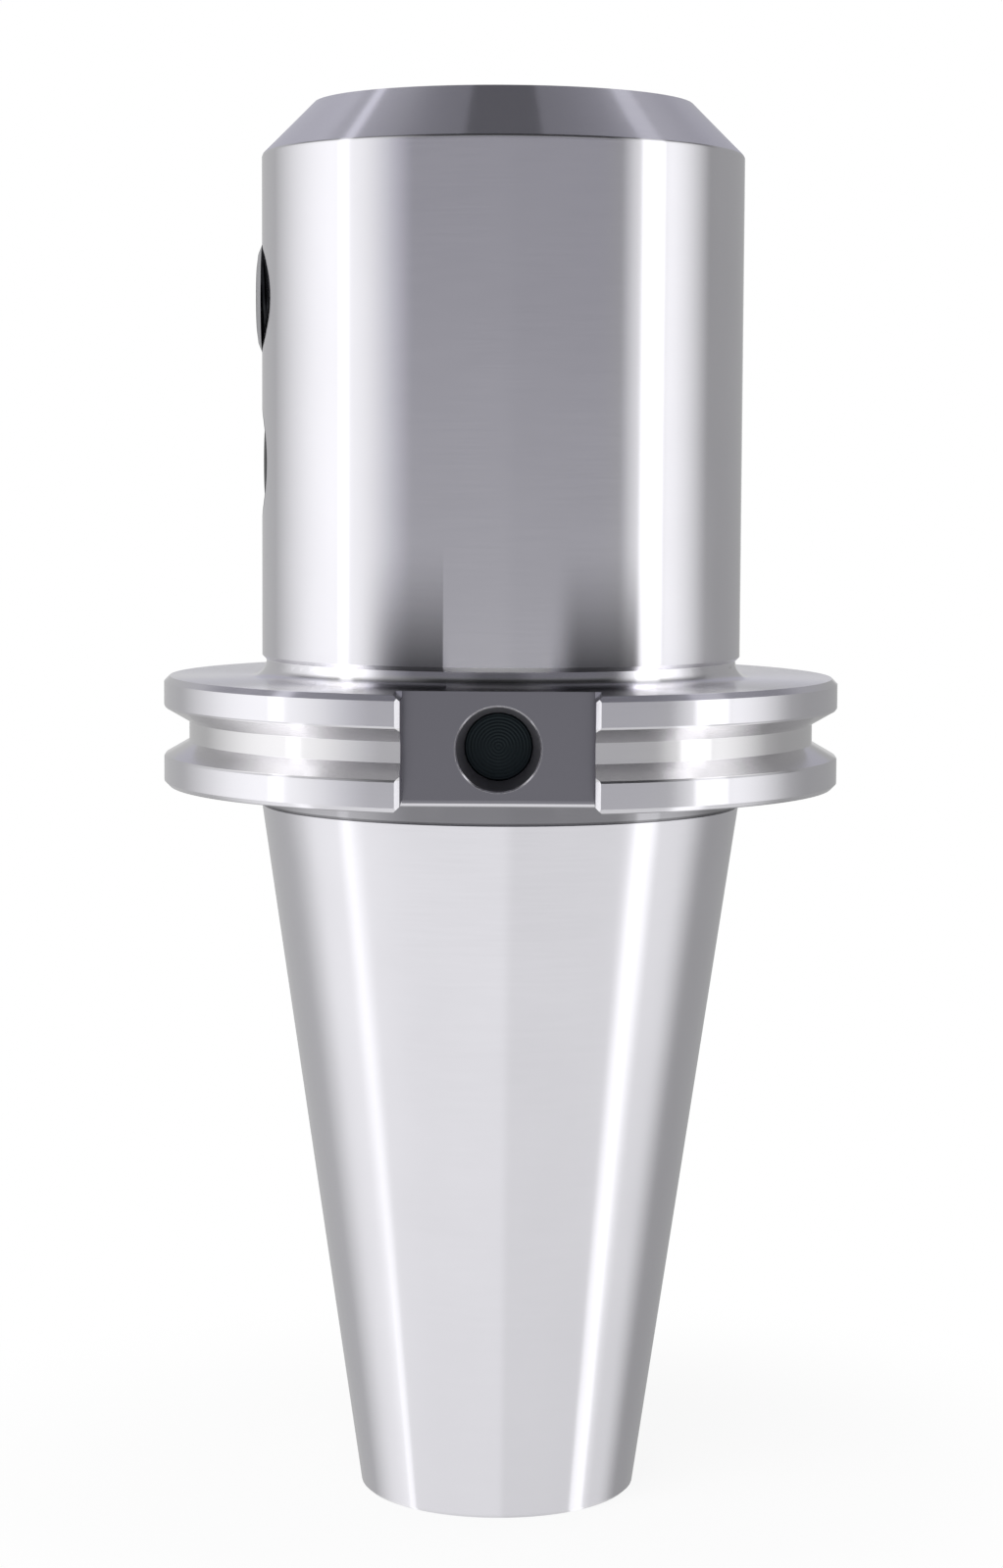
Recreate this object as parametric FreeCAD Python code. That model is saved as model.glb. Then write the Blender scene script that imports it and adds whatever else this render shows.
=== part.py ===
import FreeCAD, Part
import math
import os

# End mill holder: a 50-size 7:24 taper shank, a V-flange and a straight nose, turned and
# ground from one steel forging, with two clamp screws in the side of the nose.
# Frame: +Z along the axis towards the nose, origin on the axis in the gauge plane, millimetres.
# The drive slots face -Y and +Y, and the clamp screws come out close to -X.

# Taper shank
GAUGE_DIA = 69.85
TAPER_RATE = 7.0 / 24.0
TAPER_LENGTH = 101.6
TAIL_CHAMFER = 0.5
GRINDING_RELIEF_START = 0.25
GRINDING_RELIEF_WIDTH = 0.4
GRINDING_RELIEF_DEPTH = 0.45

# V-flange
FLANGE_DIA = 98.425
FLANGE_GAP = 3.175
FLANGE_THICKNESS = 15.875
FLANGE_TOP_CHAMFER = 0.8
FLANGE_BOTTOM_CHAMFER = 0.7
GROOVE_HEIGHT = 11.1
GROOVE_MOUTH = 7.1
GROOVE_DEPTH = 3.65
GROOVE_ANGLE = 60.0
GROOVE_LIP_BREAK = 0.2

# Drive slots
SLOT_WIDTH = 26.2
SLOT_FLOOR_DISTANCE = 37.7
SLOT_EDGE_DEPTH = 0.9
SLOT_SIDE_CHAMFER = 0.95
SLOT_FLOOR_CHAMFER = 0.45
SLOT_DIRECTIONS = (-90.0, 90.0)

# Blind hole in the floor of the front drive slot, and the black plug seated in it
FLANGE_HOLE_DIA = 9.5
FLANGE_HOLE_MOUTH_DIA = 11.6
FLANGE_HOLE_CONE_DEPTH = 5.0
FLANGE_HOLE_EDGE = 0.2
PLUG_THICKNESS = 4.5
PLUG_CLEARANCE = 0.02
PLUG_EDGE = 0.25

# Nose
NOSE_DIA = 69.85
NOSE_PROJECTION = 101.6
NOSE_CHAMFER = 7.5
NOSE_EDGE_RADIUS = 0.9
ROOT_RELIEF = 0.63
ROOT_FILLET = 2.4

# Tool bore, coolant passage and retention knob thread
TOOL_SHANK_DIA = 31.75
TOOL_BORE_CLEARANCE = 0.02
TOOL_BORE_DEPTH = 66.7
TOOL_BORE_CHAMFER = 1.2
PASSAGE_DIA = 14.0
DRILL_POINT_ANGLE = 118.0
KNOB_THREAD_BORE_DIA = 22.225
KNOB_THREAD_LENGTH = 44.5
KNOB_PILOT_DIA = 26.2
KNOB_PILOT_DEPTH = 6.0
KNOB_THREAD_CHAMFER = 1.5

# Clamp screws and their tapped holes
SCREW_DIA = 15.875
SCREW_CLEARANCE = 0.06
SCREW_LENGTH = 18.5
SCREW_TURN = 2.0
FIRST_SCREW_FROM_FACE = 28.0
SCREW_SPACING = 23.6
UPPER_SCREW_PROUD = 0.7
LOWER_SCREW_PROUD = -0.42
SCREW_HOLE_COUNTERSINK = 0.3
SCREW_FLAT_DIA = 9.6
SCREW_CROWN_DIA = 13.0
SCREW_CROWN_DROP = 0.2
SCREW_EDGE_DROP = 0.75
SCREW_TIP_DIA = 11.4
SCREW_TIP_LENGTH = 2.0
SCREW_TIP_CHAMFER = 0.5
SOCKET_WIDTH = 7.94
SOCKET_DEPTH = 8.0
SOCKET_CHAMFER = 0.25

# Allowance by which a cutter runs past the face that it cuts through
OVERRUN = 2.0

FLANGE_TOP = FLANGE_GAP + FLANGE_THICKNESS
UPPER_SCREW_HEIGHT = NOSE_PROJECTION - FIRST_SCREW_FROM_FACE
LOWER_SCREW_HEIGHT = UPPER_SCREW_HEIGHT - SCREW_SPACING
Z_AXIS = FreeCAD.Vector(0, 0, 1)
ORIGIN = FreeCAD.Vector(0, 0, 0)


def taper_radius(height):
    """Radius of the taper at a height from the gauge plane."""
    return GAUGE_DIA / 2 + height * TAPER_RATE / 2


def drill_point_height(outer_radius, inner_radius):
    """Height of the cone that a drill point leaves between two radii."""
    return (outer_radius - inner_radius) / math.tan(math.radians(DRILL_POINT_ANGLE / 2))


class Outline:
    """Closed half-section of (radius, height) points, made of lines and arcs."""

    def __init__(self, radius, height):
        self.start = FreeCAD.Vector(radius, 0, height)
        self.here = self.start
        self.edges = []

    def line(self, radius, height):
        """Draws a straight line to a point."""
        target = FreeCAD.Vector(radius, 0, height)
        self.edges.append(Part.LineSegment(self.here, target).toShape())
        self.here = target

    def arc(self, centre_radius, centre_height, radius, height):
        """Draws the shorter arc about a centre to a point."""
        centre = FreeCAD.Vector(centre_radius, 0, centre_height)
        target = FreeCAD.Vector(radius, 0, height)
        middle = (self.here + target) * 0.5 - centre
        middle.normalize()
        middle = centre + middle * (target - centre).Length
        self.edges.append(Part.Arc(self.here, middle, target).toShape())
        self.here = target

    def revolve(self):
        """Closes the section and turns it about the Z axis into a solid."""
        self.line(self.start.x, self.start.z)
        face = Part.Face(Part.Wire(self.edges))
        return face.revolve(ORIGIN, Z_AXIS, 360)


def draw_taper(outline):
    """Small end, taper and the grinding relief just above the gauge plane."""
    small_end = taper_radius(-TAPER_LENGTH)
    relief_end = GRINDING_RELIEF_START + GRINDING_RELIEF_WIDTH
    relief_radius = GAUGE_DIA / 2 - GRINDING_RELIEF_DEPTH
    outline.line(small_end - TAIL_CHAMFER, -TAPER_LENGTH)
    outline.line(taper_radius(-TAPER_LENGTH + TAIL_CHAMFER), -TAPER_LENGTH + TAIL_CHAMFER)
    outline.line(taper_radius(GRINDING_RELIEF_START), GRINDING_RELIEF_START)
    outline.line(relief_radius, GRINDING_RELIEF_START)
    outline.line(relief_radius, relief_end)
    outline.line(GAUGE_DIA / 2, relief_end)
    outline.line(GAUGE_DIA / 2, FLANGE_GAP)


def draw_flange(outline):
    """Two lips with chamfered corners and the V-groove between them."""
    rim = FLANGE_DIA / 2
    slope = math.tan(math.radians(GROOVE_ANGLE / 2))
    half_mouth = GROOVE_MOUTH / 2
    half_root = half_mouth - GROOVE_DEPTH * slope
    lip_break = GROOVE_LIP_BREAK
    outline.line(rim - FLANGE_BOTTOM_CHAMFER, FLANGE_GAP)
    outline.line(rim, FLANGE_GAP + FLANGE_BOTTOM_CHAMFER)
    outline.line(rim, GROOVE_HEIGHT - half_mouth - lip_break)
    outline.line(rim - lip_break, GROOVE_HEIGHT - half_mouth + lip_break * slope)
    outline.line(rim - GROOVE_DEPTH, GROOVE_HEIGHT - half_root)
    outline.line(rim - GROOVE_DEPTH, GROOVE_HEIGHT + half_root)
    outline.line(rim - lip_break, GROOVE_HEIGHT + half_mouth - lip_break * slope)
    outline.line(rim, GROOVE_HEIGHT + half_mouth + lip_break)
    outline.line(rim, FLANGE_TOP - FLANGE_TOP_CHAMFER)
    outline.line(rim - FLANGE_TOP_CHAMFER, FLANGE_TOP)


def draw_nose(outline):
    """Root fillet, relief step, straight nose and its 45 degree end chamfer."""
    nose = NOSE_DIA / 2
    root = nose - ROOT_RELIEF
    fillet_top = FLANGE_TOP + ROOT_FILLET
    corner = NOSE_PROJECTION - NOSE_CHAMFER
    blend = NOSE_EDGE_RADIUS * math.tan(math.radians(22.5))
    blend_leg = blend * math.cos(math.radians(45))
    outline.line(root + ROOT_FILLET, FLANGE_TOP)
    outline.arc(root + ROOT_FILLET, fillet_top, root, fillet_top)
    outline.line(nose, fillet_top + ROOT_RELIEF)
    outline.line(nose, corner - blend)
    outline.arc(nose - NOSE_EDGE_RADIUS, corner - blend, nose - blend_leg, corner + blend_leg)
    outline.line(nose - NOSE_CHAMFER, NOSE_PROJECTION)


def draw_bores(outline):
    """Tool bore, coolant passage, knob thread bore and its pilot, from nose to small end."""
    tool_bore = (TOOL_SHANK_DIA + TOOL_BORE_CLEARANCE) / 2
    passage = PASSAGE_DIA / 2
    thread = KNOB_THREAD_BORE_DIA / 2
    pilot = KNOB_PILOT_DIA / 2
    bore_floor = NOSE_PROJECTION - TOOL_BORE_DEPTH
    pilot_floor = KNOB_PILOT_DEPTH - TAPER_LENGTH
    thread_start = pilot_floor + KNOB_THREAD_CHAMFER
    thread_end = thread_start + KNOB_THREAD_LENGTH
    outline.line(tool_bore + TOOL_BORE_CHAMFER, NOSE_PROJECTION)
    outline.line(tool_bore, NOSE_PROJECTION - TOOL_BORE_CHAMFER)
    outline.line(tool_bore, bore_floor)
    outline.line(passage, bore_floor - drill_point_height(tool_bore, passage))
    outline.line(passage, thread_end + drill_point_height(thread, passage))
    outline.line(thread, thread_end)
    outline.line(thread, thread_start)
    outline.line(thread + KNOB_THREAD_CHAMFER, pilot_floor)
    outline.line(pilot, pilot_floor)


def prism(points, path):
    """Solid swept along a vector from a flat polygon."""
    wire = Part.makePolygon(points + [points[0]])
    return Part.Face(wire).extrude(path)


def slot_flare(edge_height, face_height, floor_chamfer):
    """Spreading block that chamfers the slot's walls, and its floor, where they meet a flange face."""
    half = SLOT_WIDTH / 2
    run = (face_height - edge_height) / SLOT_EDGE_DEPTH
    side = abs(run) * SLOT_SIDE_CHAMFER
    floor = abs(run) * floor_chamfer
    outside = FLANGE_DIA / 2 + OVERRUN
    wires = []
    for height, spread, reach in ((edge_height, 0, 0), (face_height, side, floor)):
        ring = [(-half - spread, SLOT_FLOOR_DISTANCE - reach),
                (half + spread, SLOT_FLOOR_DISTANCE - reach),
                (half + spread, outside), (-half - spread, outside)]
        points = [FreeCAD.Vector(x, y, height) for x, y in ring]
        wires.append(Part.makePolygon(points + [points[0]]))
    return Part.makeLoft(wires, True, True)


def drive_slot_cutter():
    """Cutter for the slot that faces +Y, with the edge chamfers that it leaves."""
    half = SLOT_WIDTH / 2
    outside = FLANGE_DIA / 2 + OVERRUN
    bottom = FLANGE_GAP - OVERRUN
    mouth = math.sqrt((FLANGE_DIA / 2) ** 2 - half ** 2) - SLOT_SIDE_CHAMFER
    flare = half + outside - mouth
    plan = [(-half, SLOT_FLOOR_DISTANCE), (half, SLOT_FLOOR_DISTANCE), (half, mouth),
            (flare, outside), (-flare, outside), (-half, mouth)]
    across_rim = prism([FreeCAD.Vector(x, y, bottom) for x, y in plan],
                       FreeCAD.Vector(0, 0, FLANGE_THICKNESS + 2 * OVERRUN))
    top_edges = slot_flare(FLANGE_TOP - SLOT_EDGE_DEPTH, FLANGE_TOP + OVERRUN, 0)
    bottom_edges = slot_flare(FLANGE_GAP + SLOT_EDGE_DEPTH, bottom, SLOT_FLOOR_CHAMFER)
    return across_rim.fuse([top_edges, bottom_edges])


def flange_hole_cutter():
    """Blind hole into the floor of the front slot: a long cone, then a straight seat."""
    hole = FLANGE_HOLE_DIA / 2
    mouth = FLANGE_HOLE_MOUTH_DIA / 2
    edge = FLANGE_HOLE_EDGE
    depth = FLANGE_HOLE_CONE_DEPTH + PLUG_THICKNESS
    outline = Outline(0, -depth)
    outline.line(hole, -depth)
    outline.line(hole, -FLANGE_HOLE_CONE_DEPTH)
    outline.line(mouth, -edge)
    outline.line(mouth + edge, 0)
    outline.line(mouth + edge, OVERRUN)
    outline.line(0, OVERRUN)
    return place_in_slot_floor(outline.revolve())


def flange_hole_plug():
    """Black disc on the seat of the flange hole, its face at the foot of the cone."""
    radius = FLANGE_HOLE_DIA / 2 - PLUG_CLEARANCE
    outline = Outline(0, -PLUG_THICKNESS)
    outline.line(radius, -PLUG_THICKNESS)
    outline.line(radius, -PLUG_EDGE)
    outline.line(radius - PLUG_EDGE, 0)
    outline.line(0, 0)
    disc = outline.revolve()
    disc.translate(FreeCAD.Vector(0, 0, -FLANGE_HOLE_CONE_DEPTH))
    return place_in_slot_floor(disc)


def place_in_slot_floor(shape):
    """Turns a shape made about Z so that it stands out of the front slot's floor."""
    facing = FreeCAD.Vector(0, -1, 0)
    seat = FreeCAD.Vector(0, -SLOT_FLOOR_DISTANCE, GROOVE_HEIGHT)
    shape.Placement = FreeCAD.Placement(seat, FreeCAD.Rotation(Z_AXIS, facing)) * shape.Placement
    return shape


def place_on_screw_axis(shape, distance, height):
    """Turns a shape made about Z to point out of the nose along a clamp screw's axis."""
    turn = math.radians(SCREW_TURN)
    outward = FreeCAD.Vector(-math.cos(turn), -math.sin(turn), 0)
    seat = outward * distance + FreeCAD.Vector(0, 0, height)
    shape.Placement = FreeCAD.Placement(seat, FreeCAD.Rotation(Z_AXIS, outward)) * shape.Placement
    return shape


def screw_hole_cutter(height):
    """Tapped hole from the tool bore out through the side of the nose."""
    surface = NOSE_DIA / 2
    hole = SCREW_DIA / 2
    sink = SCREW_HOLE_COUNTERSINK
    outline = Outline(0, 0)
    outline.line(hole, 0)
    outline.line(hole, surface - sink)
    outline.line(hole + sink + OVERRUN, surface + OVERRUN)
    outline.line(0, surface + OVERRUN)
    return place_on_screw_axis(outline.revolve(), 0, height)


def hexagon_socket():
    """Six-sided key socket below the outer face of a screw, with a chamfered mouth."""
    corner = SOCKET_WIDTH / math.sqrt(3)
    ring = [FreeCAD.Vector(corner * math.cos(math.radians(60 * i + 30)),
                           corner * math.sin(math.radians(60 * i + 30)), -SOCKET_DEPTH)
            for i in range(6)]
    socket = prism(ring, FreeCAD.Vector(0, 0, SOCKET_DEPTH + OVERRUN))
    rim = corner + SOCKET_CHAMFER
    mouth = Part.makeCone(0, rim, rim, FreeCAD.Vector(0, 0, -rim))
    return socket.fuse(mouth)


def clamp_screw(proud, height):
    """Socket set screw with a crowned outer end and a flat dog point towards the tool."""
    radius = SCREW_DIA / 2 - SCREW_CLEARANCE
    tip = SCREW_TIP_DIA / 2
    shoulder = SCREW_TIP_LENGTH - SCREW_LENGTH
    outline = Outline(0, -SCREW_LENGTH)
    outline.line(tip - SCREW_TIP_CHAMFER, -SCREW_LENGTH)
    outline.line(tip, SCREW_TIP_CHAMFER - SCREW_LENGTH)
    outline.line(tip, shoulder)
    outline.line(radius, shoulder + radius - tip)
    outline.line(radius, -SCREW_EDGE_DROP)
    outline.line(SCREW_CROWN_DIA / 2, -SCREW_CROWN_DROP)
    outline.line(SCREW_FLAT_DIA / 2, 0)
    outline.line(0, 0)
    screw = outline.revolve().cut(hexagon_socket())
    return place_on_screw_axis(screw, NOSE_DIA / 2 + proud, height)


def holder_body():
    """The one-piece steel holder, turned about its axis, then milled and drilled."""
    outline = Outline(KNOB_PILOT_DIA / 2, -TAPER_LENGTH)
    draw_taper(outline)
    draw_flange(outline)
    draw_nose(outline)
    draw_bores(outline)
    body = outline.revolve()
    cutters = [flange_hole_cutter()]
    for direction in SLOT_DIRECTIONS:
        slot = drive_slot_cutter()
        slot.rotate(ORIGIN, Z_AXIS, direction - 90)
        cutters.append(slot)
    for height in (UPPER_SCREW_HEIGHT, LOWER_SCREW_HEIGHT):
        cutters.append(screw_hole_cutter(height))
    return body.cut(cutters)


def main():
    """Builds each piece and writes it to its own file."""
    pieces = {
        "holder_body": holder_body(),
        "upper_clamp_screw": clamp_screw(UPPER_SCREW_PROUD, UPPER_SCREW_HEIGHT),
        "lower_clamp_screw": clamp_screw(LOWER_SCREW_PROUD, LOWER_SCREW_HEIGHT),
        "flange_hole_plug": flange_hole_plug(),
    }
    os.makedirs("parts", exist_ok=True)
    for name, shape in pieces.items():
        solids = shape.Solids
        print(name, "solids", len(solids), "valid", shape.isValid(), "volume", shape.Volume)
        solids[0].exportStep(os.path.join("parts", name + ".step"))


main()
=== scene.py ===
"""Looks of the end mill holder: ground steel, black clamp screws, threads, plug, studio and camera."""
import logging
import math
from collections.abc import Iterable
from dataclasses import dataclass
from enum import Enum
from typing import Any

import bmesh
import bpy
from bmesh.types import BMEdge, BMesh, BMVert
from bpy.types import Material, Node, NodeSocket, NodeTree, Object
from mathutils import Matrix, Vector


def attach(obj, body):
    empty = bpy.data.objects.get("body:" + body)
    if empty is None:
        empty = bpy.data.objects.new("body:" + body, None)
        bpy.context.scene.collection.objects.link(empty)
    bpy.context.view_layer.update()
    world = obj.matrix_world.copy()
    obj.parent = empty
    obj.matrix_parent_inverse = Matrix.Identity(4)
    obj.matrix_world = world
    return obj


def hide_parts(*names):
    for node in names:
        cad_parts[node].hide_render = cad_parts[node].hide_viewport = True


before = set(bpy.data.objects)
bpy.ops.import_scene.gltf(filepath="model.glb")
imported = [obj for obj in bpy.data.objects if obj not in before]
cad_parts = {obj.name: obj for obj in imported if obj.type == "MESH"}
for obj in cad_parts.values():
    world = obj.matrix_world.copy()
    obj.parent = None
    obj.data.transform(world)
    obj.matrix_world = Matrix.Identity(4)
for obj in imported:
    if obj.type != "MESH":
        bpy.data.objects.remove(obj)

LOG = logging.getLogger("end_mill_holder")
MM = 0.001
WELD = 0.001  # mm, below which two points of a mesh are one
CUT = 0.0001  # mm, within which a point lies on a cutting plane
LEVEL = 0.01  # mm, within which points lie at one height
SHARP = 35.0  # degrees, above which an edge isn't shaded smooth

# Where something starts and ends.
Span = tuple[float, float]


def linear(hex_colour: str) -> tuple[float, float, float, float]:
    """Turns an sRGB colour into linear light.

    Args:
        hex_colour: The colour as "#rrggbb".

    Returns:
        Red, green, blue and an alpha of 1.
    """
    channels = [int(hex_colour[i:i + 2], 16) / 255 for i in (1, 3, 5)]
    red, green, blue = (c / 12.92 if c <= 0.04045 else ((c + 0.055) / 1.055) ** 2.4 for c in channels)
    return (red, green, blue, 1.0)


def add_node(tree: NodeTree, kind: str, inputs: dict[Any, Any] | None = None,
             **settings: Any) -> NodeSocket | None:
    """Adds one shader node with its settings, values and links.

    Args:
        tree: The node tree that gets the node.
        kind: The node's type, without its leading "ShaderNode".
        inputs: What each input gets, by name or number. A socket is linked, and anything else is a value.
        **settings: Properties of the node by name.

    Returns:
        The node's first output that is in use, or None. Its other outputs are reached from its node.
    """
    node = tree.nodes.new("ShaderNode" + kind)
    for name, value in settings.items():
        setattr(node, name, value)
    for key, value in (inputs or {}).items():
        if isinstance(value, NodeSocket):
            tree.links.new(value, node.inputs[key])
        else:
            node.inputs[key].default_value = value
    return next((output for output in node.outputs if output.enabled), None)


def ramp(tree: NodeTree, value: NodeSocket, start: float, end: float, low: Any = 0.0,
         high: Any = 1.0) -> NodeSocket:
    """Smooth step from one level to another.

    Args:
        tree: The node tree.
        value: What the step follows.
        start: Where the step starts.
        end: Where the step ends.
        low: Level before the step, a number or a socket.
        high: Level after the step, a number or a socket.

    Returns:
        The stepped level.
    """
    step = add_node(tree, "MapRange", {"Value": value, "From Min": start, "From Max": end},
                    interpolation_type="SMOOTHSTEP")
    return add_node(tree, "Mix", {"Factor": step, "A": low, "B": high})


def layers(tree: NodeTree, value: NodeSocket, first: Any,
           changes: Iterable[tuple[float, float, Any]]) -> NodeSocket:
    """Levels that follow each other along a value, with a smooth step from each to the next.

    Args:
        tree: The node tree.
        value: What the levels follow.
        first: The level before the first change, a number or a socket.
        changes: Where each change starts and ends, and the level after it.

    Returns:
        The level.
    """
    level = first
    for start, end, after in changes:
        level = ramp(tree, value, start, end, level, after)
    return level


def band(tree: NodeTree, value: NodeSocket, marks: Span, blend: float, inside: float = 1.0) -> NodeSocket:
    """A level between two marks and 0 beyond them.

    Args:
        tree: The node tree.
        value: What is measured against the marks.
        marks: The lower and the upper mark.
        blend: How far each edge reaches to both sides of its mark.
        inside: The level between the marks.

    Returns:
        The level.
    """
    low, high = marks
    return layers(tree, value, 0.0, ((low - blend, low + blend, inside), (high - blend, high + blend, 0.0)))


def new_material(name: str) -> Material:
    """Makes an empty node material.

    Args:
        name: The material's name.

    Returns:
        The material.
    """
    material = bpy.data.materials.new(name)
    material.use_nodes = True
    material.node_tree.nodes.clear()
    return material


def finish_material(material: Material, surface: NodeSocket) -> Material:
    """Links a shader to the material's output and returns the material."""
    add_node(material.node_tree, "OutputMaterial", {"Surface": surface})
    return material


def dress(obj: Object, material: Material) -> None:
    """Gives an object one material in place of those that it has."""
    obj.data.materials.clear()
    obj.data.materials.append(material)


def object_from(mesh_data: BMesh, name: str) -> Object:
    """Turns a bmesh in millimetres into an object at the origin, in metres, and frees it.

    Args:
        mesh_data: The closed shape, in millimetres.
        name: The object's name.

    Returns:
        The object, linked to the scene.
    """
    bmesh.ops.recalc_face_normals(mesh_data, faces=mesh_data.faces)
    bmesh.ops.scale(mesh_data, vec=Vector((MM, MM, MM)), verts=mesh_data.verts)
    for face in mesh_data.faces:
        face.smooth = True
    for edge in mesh_data.edges:
        edge.smooth = edge.calc_face_angle(0.0) < math.radians(SHARP)
    mesh = bpy.data.meshes.new(name)
    mesh_data.to_mesh(mesh)
    mesh_data.free()
    obj = bpy.data.objects.new(name, mesh)
    bpy.context.scene.collection.objects.link(obj)
    return obj


class Body(Enum):
    """The bodies that pieces ride on."""

    HOLDER = "holder"
    UPPER_SCREW = "upper_screw"
    LOWER_SCREW = "lower_screw"


@dataclass(frozen=True)
class ClampScrewAxis:
    """Where a clamp screw's axis runs: out of the nose near -X, at a height above the gauge plane."""

    height: float
    turn: float = 2.0

    def outward(self) -> Vector:
        """Direction out of the nose."""
        angle = math.radians(self.turn)
        return Vector((-math.cos(angle), -math.sin(angle), 0.0))

    def placement(self, distance: float) -> Matrix:
        """Matrix that puts a shape made about Z on the axis, Z pointing out of the nose.

        Args:
            distance: How far along the axis the shape's origin comes, in mm.

        Returns:
            The matrix, in mm.
        """
        turned = Vector((0, 0, 1)).rotation_difference(self.outward()).to_matrix().to_4x4()
        seat = self.outward() * distance + Vector((0, 0, self.height))
        return Matrix.Translation(seat) @ turned

    def measure(self, tree: NodeTree, mm: NodeSocket) -> tuple[NodeSocket, NodeSocket]:
        """Measures a place in a material from this axis.

        Args:
            tree: The material's node tree.
            mm: Place in mm.

        Returns:
            The distance along the axis and the distance from the axis, in mm.
        """
        outward = self.outward()
        level = add_node(tree, "VectorMath", {0: mm, 1: (0, 0, self.height)}, operation="SUBTRACT")
        along = add_node(tree, "VectorMath", {0: level, 1: outward}, operation="DOT_PRODUCT")
        sideways = add_node(tree, "VectorMath", {0: level, 1: outward},
                            operation="CROSS_PRODUCT")
        reach = add_node(tree, "VectorMath", {0: sideways}, operation="LENGTH")
        return along, reach


@dataclass(frozen=True)
class HelicalThread:
    """A 60 degree screw thread; for an inside thread the crest is nearer to the axis than the root."""

    pitch: float
    crest_radius: float
    root_radius: float
    steps: int = 48

    def surface(self, bottom: float, top: float) -> BMesh:
        """Helical surface between two heights, open at both ends, where it is cut square.

        Args:
            bottom: Height of the lower cut, in mm.
            top: Height of the upper cut, in mm.

        Returns:
            A bmesh that holds the surface.
        """
        shape = bmesh.new()
        crest, root = self.pitch / 8, self.pitch / 4
        flank = (self.pitch - crest - root) / 2
        marks = [(0.0, self.root_radius), (root / 2, self.root_radius),
                 (root / 2 + flank, self.crest_radius), (root / 2 + flank + crest, self.crest_radius),
                 (self.pitch - root / 2, self.root_radius), (self.pitch, self.root_radius)]
        # The helix starts two turns below the lower cut and ends past the upper one.
        start = bottom - 2 * self.pitch
        turns = math.ceil((top - bottom) / self.pitch) + 3
        line = [shape.verts.new((radius, 0.0, start + height)) for height, radius in marks]
        for low, high in zip(line, line[1:]):
            shape.edges.new((low, high))
        bmesh.ops.spin(shape, geom=shape.verts[:] + shape.edges[:], cent=(0, 0, 0), axis=(0, 0, 1),
                       dvec=(0, 0, self.pitch / self.steps), angle=2 * math.pi * turns,
                       steps=self.steps * turns, use_merge=False, use_duplicate=False)
        bmesh.ops.remove_doubles(shape, verts=shape.verts, dist=WELD)
        for height, direction in ((bottom, -1), (top, 1)):
            bmesh.ops.bisect_plane(shape, geom=shape.verts[:] + shape.edges[:] + shape.faces[:], dist=CUT,
                                   plane_co=(0, 0, height), plane_no=(0, 0, direction), clear_outer=True)
        bmesh.ops.remove_doubles(shape, verts=shape.verts, dist=WELD)
        return shape


def open_loop(shape: BMesh, height: float) -> list[BMEdge]:
    """Edges of the open rim that lies at one height."""
    return [e for e in shape.edges if e.is_boundary and all(abs(v.co.z - height) < LEVEL for v in e.verts)]


def grow_rim(shape: BMesh, rim: list[BMEdge], *circles: tuple[float, float]) -> list[BMEdge]:
    """Extrudes an open rim and draws it to one circle about Z after the other.

    Args:
        shape: The bmesh.
        rim: The rim's edges.
        *circles: The radius and height of each new circle, in mm.

    Returns:
        The last rim's edges.
    """
    for radius, height in circles:
        grown = bmesh.ops.extrude_edge_only(shape, edges=rim)["geom"]
        for vert in (g for g in grown if isinstance(g, BMVert)):
            flat = Vector((vert.co.x, vert.co.y, 0.0)).normalized() * radius
            vert.co = Vector((flat.x, flat.y, height))
        rim = [g for g in grown if isinstance(g, BMEdge) and g.is_boundary]
    return rim


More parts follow.
